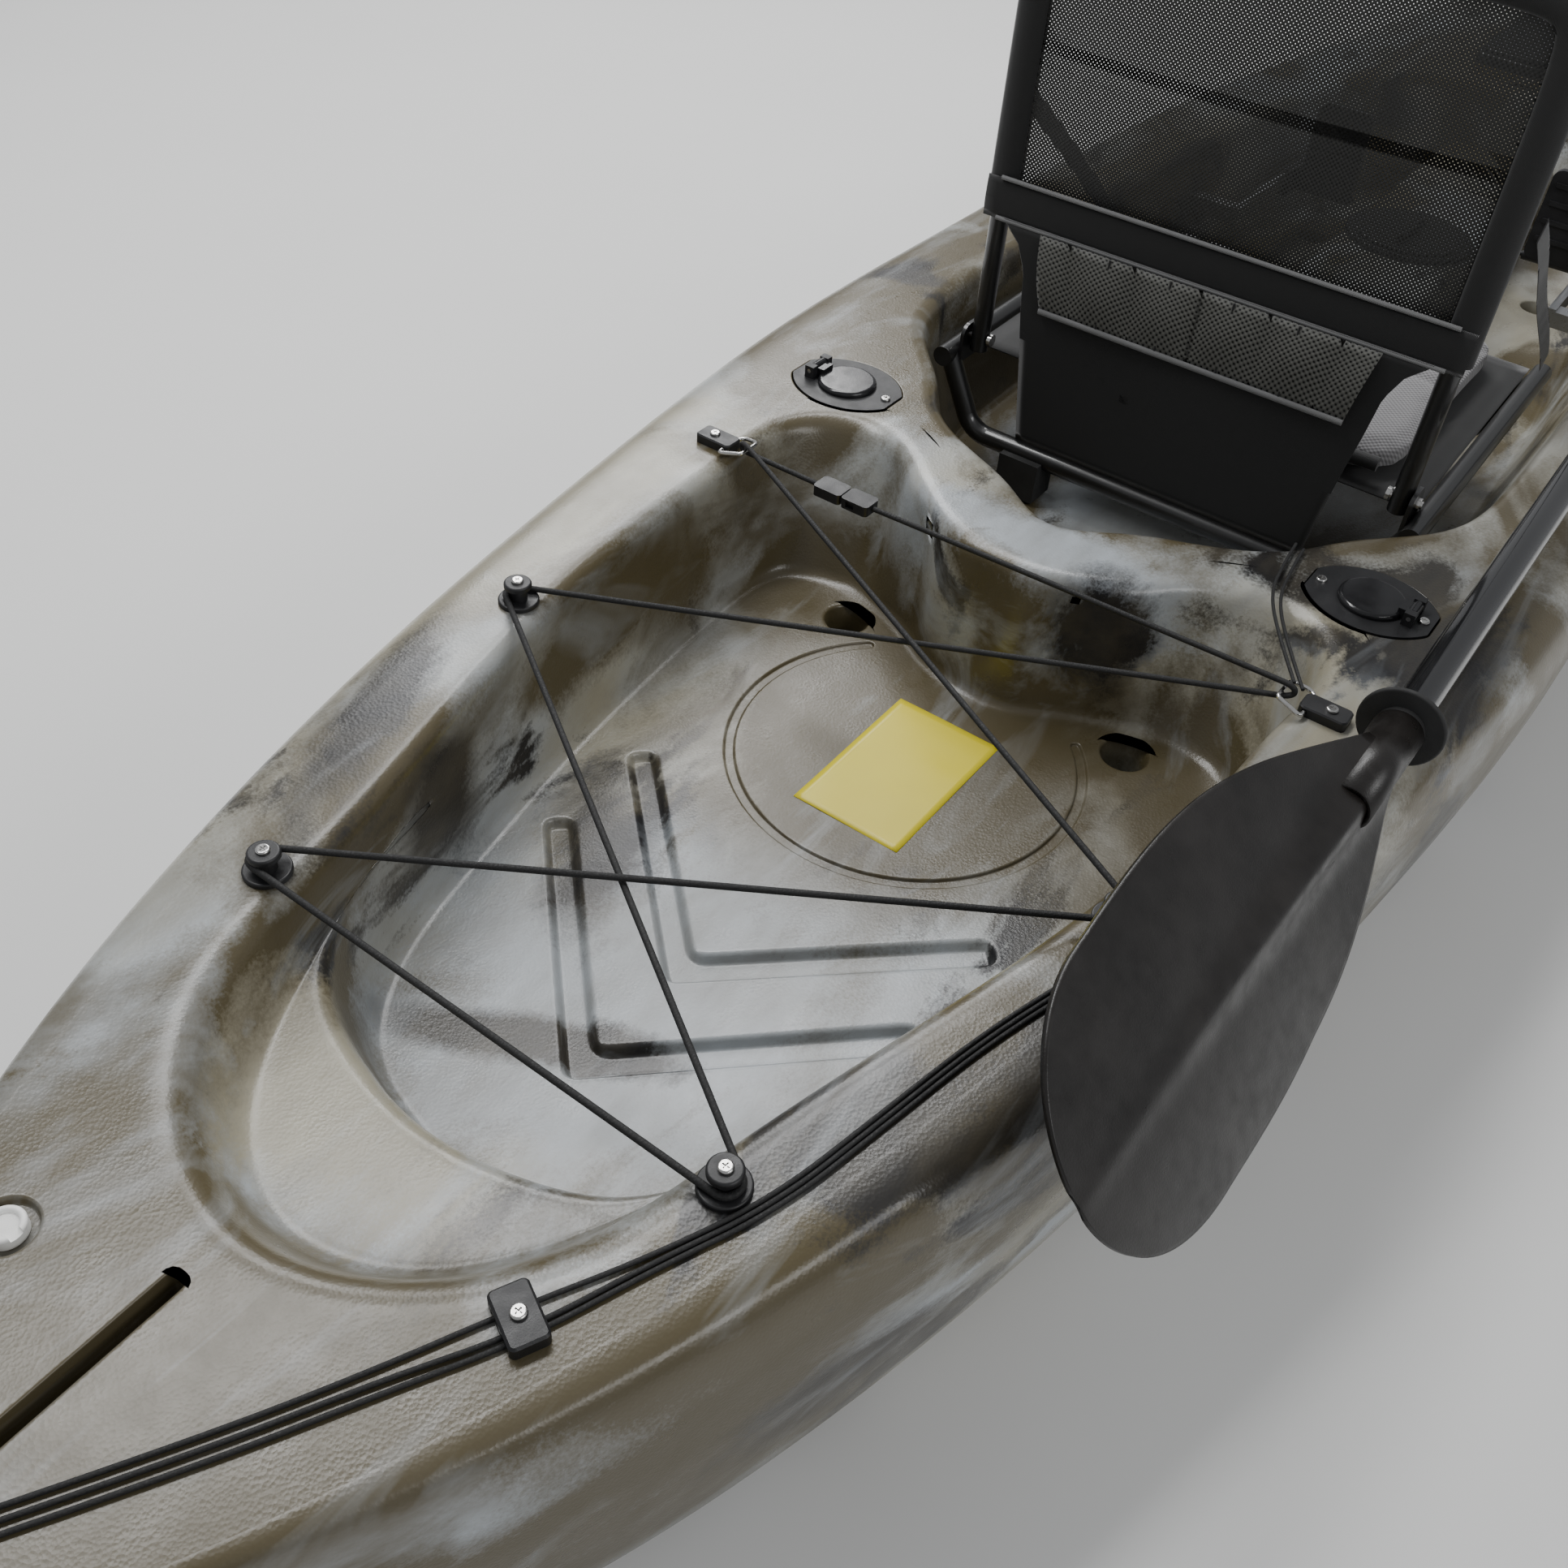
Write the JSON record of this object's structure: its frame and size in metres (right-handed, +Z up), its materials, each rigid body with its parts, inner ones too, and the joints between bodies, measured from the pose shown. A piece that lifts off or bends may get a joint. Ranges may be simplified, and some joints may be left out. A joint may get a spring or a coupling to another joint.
{
  "type": "sit-on-top fishing kayak",
  "caption": "Sit-on-top fishing kayak with camouflage hull, laced tankwell, folding mesh seat, flush rod holders, hatches, foot-steered rudder and a two-piece paddle.",
  "frame": {"origin": "amidships, on the flat strip of the keel", "axes": "+X to the bow, +Y to port, +Z up"},
  "size_m": [4.0432, 0.8855, 0.75],
  "materials": {
    "hull_plastic": "rotomoulded polyethylene with sprayed patches of cream, olive brown and charcoal, semi-gloss with fine orange peel",
    "black_plastic": "moulded black nylon, satin",
    "gloss_black": "glossy moulded lid",
    "white_plastic": "white moulded plastic",
    "steel": "stainless, polished",
    "aluminium": "satin anodised",
    "seat_tube": "aluminium tube, black powder coat, semi-gloss",
    "shaft_black": "black glass-fibre tube, glossy",
    "blade_black": "glass-filled nylon, satin with fine scuffs",
    "cord": "braided black cord",
    "seat_mesh": "open black mesh with a bound border and grey piping",
    "black_fabric": "plain black woven nylon",
    "seat_pad": "grey textured pad fabric with a sewn channel",
    "rubber": "black rubber"
  },
  "bodies": {
    "hull": {"bow_handle": "black_plastic", "bow_hatch_gasket": "rubber", "bow_hatch_pin": "steel", "bow_hatch_rim": "black_plastic", "buckle_plug": "black_plastic", "buckle_socket": "black_plastic", "bungee_anchor_aft_port": "black_plastic", "bungee_anchor_aft_starboard": "black_plastic", "bungee_anchor_mid_port": "black_plastic", "bungee_anchor_mid_starboard": "black_plastic", "bungee_cord": "cord", "centre_hatch_ring": "black_plastic", "d_ring_plate_port": "black_plastic", "d_ring_plate_starboard": "black_plastic", "d_ring_port": "steel", "d_ring_starboard": "steel", "deck_screws": "steel", "foot_rail_port": "aluminium", "foot_rail_starboard": "aluminium", "hull": "hull_plastic", "leash_cord": "cord", "line_clamp": "black_plastic", "line_fairlead": "black_plastic", "rod_cap_pins": "steel", "rod_holder_port": "black_plastic", "rod_holder_starboard": "black_plastic", "rudder_bracket": "aluminium", "rudder_lines": "cord", "seat_base_frame": "seat_tube", "seat_base_sling": "seat_mesh", "seat_cushion": "seat_pad", "seat_feet": "rubber", "seat_pivot_bolts": "steel", "seat_side_straps": "black_fabric", "seat_skirt": "black_fabric", "stern_line_guide": "black_plastic"},
    "rod_cap_port": {"rod_cap_port": "gloss_black"},
    "rod_cap_starboard": {"rod_cap_starboard": "gloss_black"},
    "drain_plug": {"drain_plug": "white_plastic"},
    "bow_hatch_lid": {"bow_hatch_lid": "black_plastic"},
    "centre_hatch_lid": {"centre_hatch_lid": "black_plastic"},
    "foot_carriage_port": {"foot_carriage_port": "black_plastic"},
    "foot_carriage_starboard": {"foot_carriage_starboard": "black_plastic"},
    "foot_pedal_port": {"foot_pedal_port": "black_plastic"},
    "foot_pedal_starboard": {"foot_pedal_starboard": "black_plastic"},
    "rudder_yoke": {"rudder_yoke": "black_plastic", "rudder_steer_pin": "steel", "rudder_blade_pin": "steel"},
    "rudder_blade": {"rudder_blade": "aluminium"},
    "seat_back": {"seat_back_frame": "seat_tube", "seat_back_panel": "seat_mesh"},
    "paddle": {"paddle_shaft_aft": "shaft_black", "paddle_shaft_fore": "shaft_black", "paddle_button": "steel", "paddle_blade_aft": "blade_black", "paddle_blade_fore": "blade_black", "paddle_drip_rings": "rubber"}
  },
  "joints": [
    {"name": "seat_back_fold", "type": "hinge", "parent": "hull", "child": "seat_back", "pos_m": [-0.345, 0, 0.292], "axis": [0, 1, 0], "range_deg": [-12, 75]},
    {"name": "rod_cap_port_flip", "type": "hinge", "parent": "hull", "child": "rod_cap_port", "pos_m": [-0.545, 0.3165, 0.3085], "axis": [-1, 0, 0], "range_deg": [0, 110]},
    {"name": "rod_cap_starboard_flip", "type": "hinge", "parent": "hull", "child": "rod_cap_starboard", "pos_m": [-0.545, -0.3165, 0.3085], "axis": [1, 0, 0], "range_deg": [0, 110]},
    {"name": "drain_plug_turn", "type": "hinge", "parent": "hull", "child": "drain_plug", "pos_m": [-1.623, 0.097, 0.3], "axis": [0, 0, 1], "range_deg": [0, 360]},
    {"name": "bow_hatch_open", "type": "hinge", "parent": "hull", "child": "bow_hatch_lid", "pos_m": [1.351, 0, 0.319], "axis": [0, 1, 0], "range_deg": [0, 105]},
    {"name": "centre_hatch_turn", "type": "hinge", "parent": "hull", "child": "centre_hatch_lid", "pos_m": [0.4, 0, 0.24], "axis": [0, 0, 1], "range_deg": [0, 90]},
    {"name": "foot_carriage_port_slide", "type": "slide", "parent": "hull", "child": "foot_carriage_port", "axis": [1, 0, 0], "range_m": [-0.14, 0.085]},
    {"name": "foot_carriage_starboard_slide", "type": "slide", "parent": "hull", "child": "foot_carriage_starboard", "axis": [1, 0, 0], "range_m": [-0.14, 0.085]},
    {"name": "foot_pedal_port_tilt", "type": "hinge", "parent": "foot_carriage_port", "child": "foot_pedal_port", "pos_m": [0.536, 0, 0.214], "axis": [0, 1, 0], "range_deg": [-20, 20]},
    {"name": "foot_pedal_starboard_tilt", "type": "hinge", "parent": "foot_carriage_starboard", "child": "foot_pedal_starboard", "pos_m": [0.536, 0, 0.214], "axis": [0, 1, 0], "range_deg": [-20, 20]},
    {"name": "rudder_steer", "type": "hinge", "parent": "hull", "child": "rudder_yoke", "pos_m": [-1.858, 0, 0.3], "axis": [0, 0, 1], "range_deg": [-35, 35]},
    {"name": "rudder_blade_flip", "type": "hinge", "parent": "rudder_yoke", "child": "rudder_blade", "pos_m": [-1.884, 0, 0.33], "axis": [0, 1, 0], "range_deg": [-80, 165]},
    {"name": "paddle_lift_off", "type": "slide", "parent": "hull", "child": "paddle", "axis": [0, 0, 1], "range_m": [0, 0.3]}
  ],
  "couplings": [
    {"joint": "foot_pedal_port_tilt", "follows": "rudder_steer", "ratio": -0.55},
    {"joint": "foot_pedal_starboard_tilt", "follows": "rudder_steer", "ratio": 0.55}
  ]
}
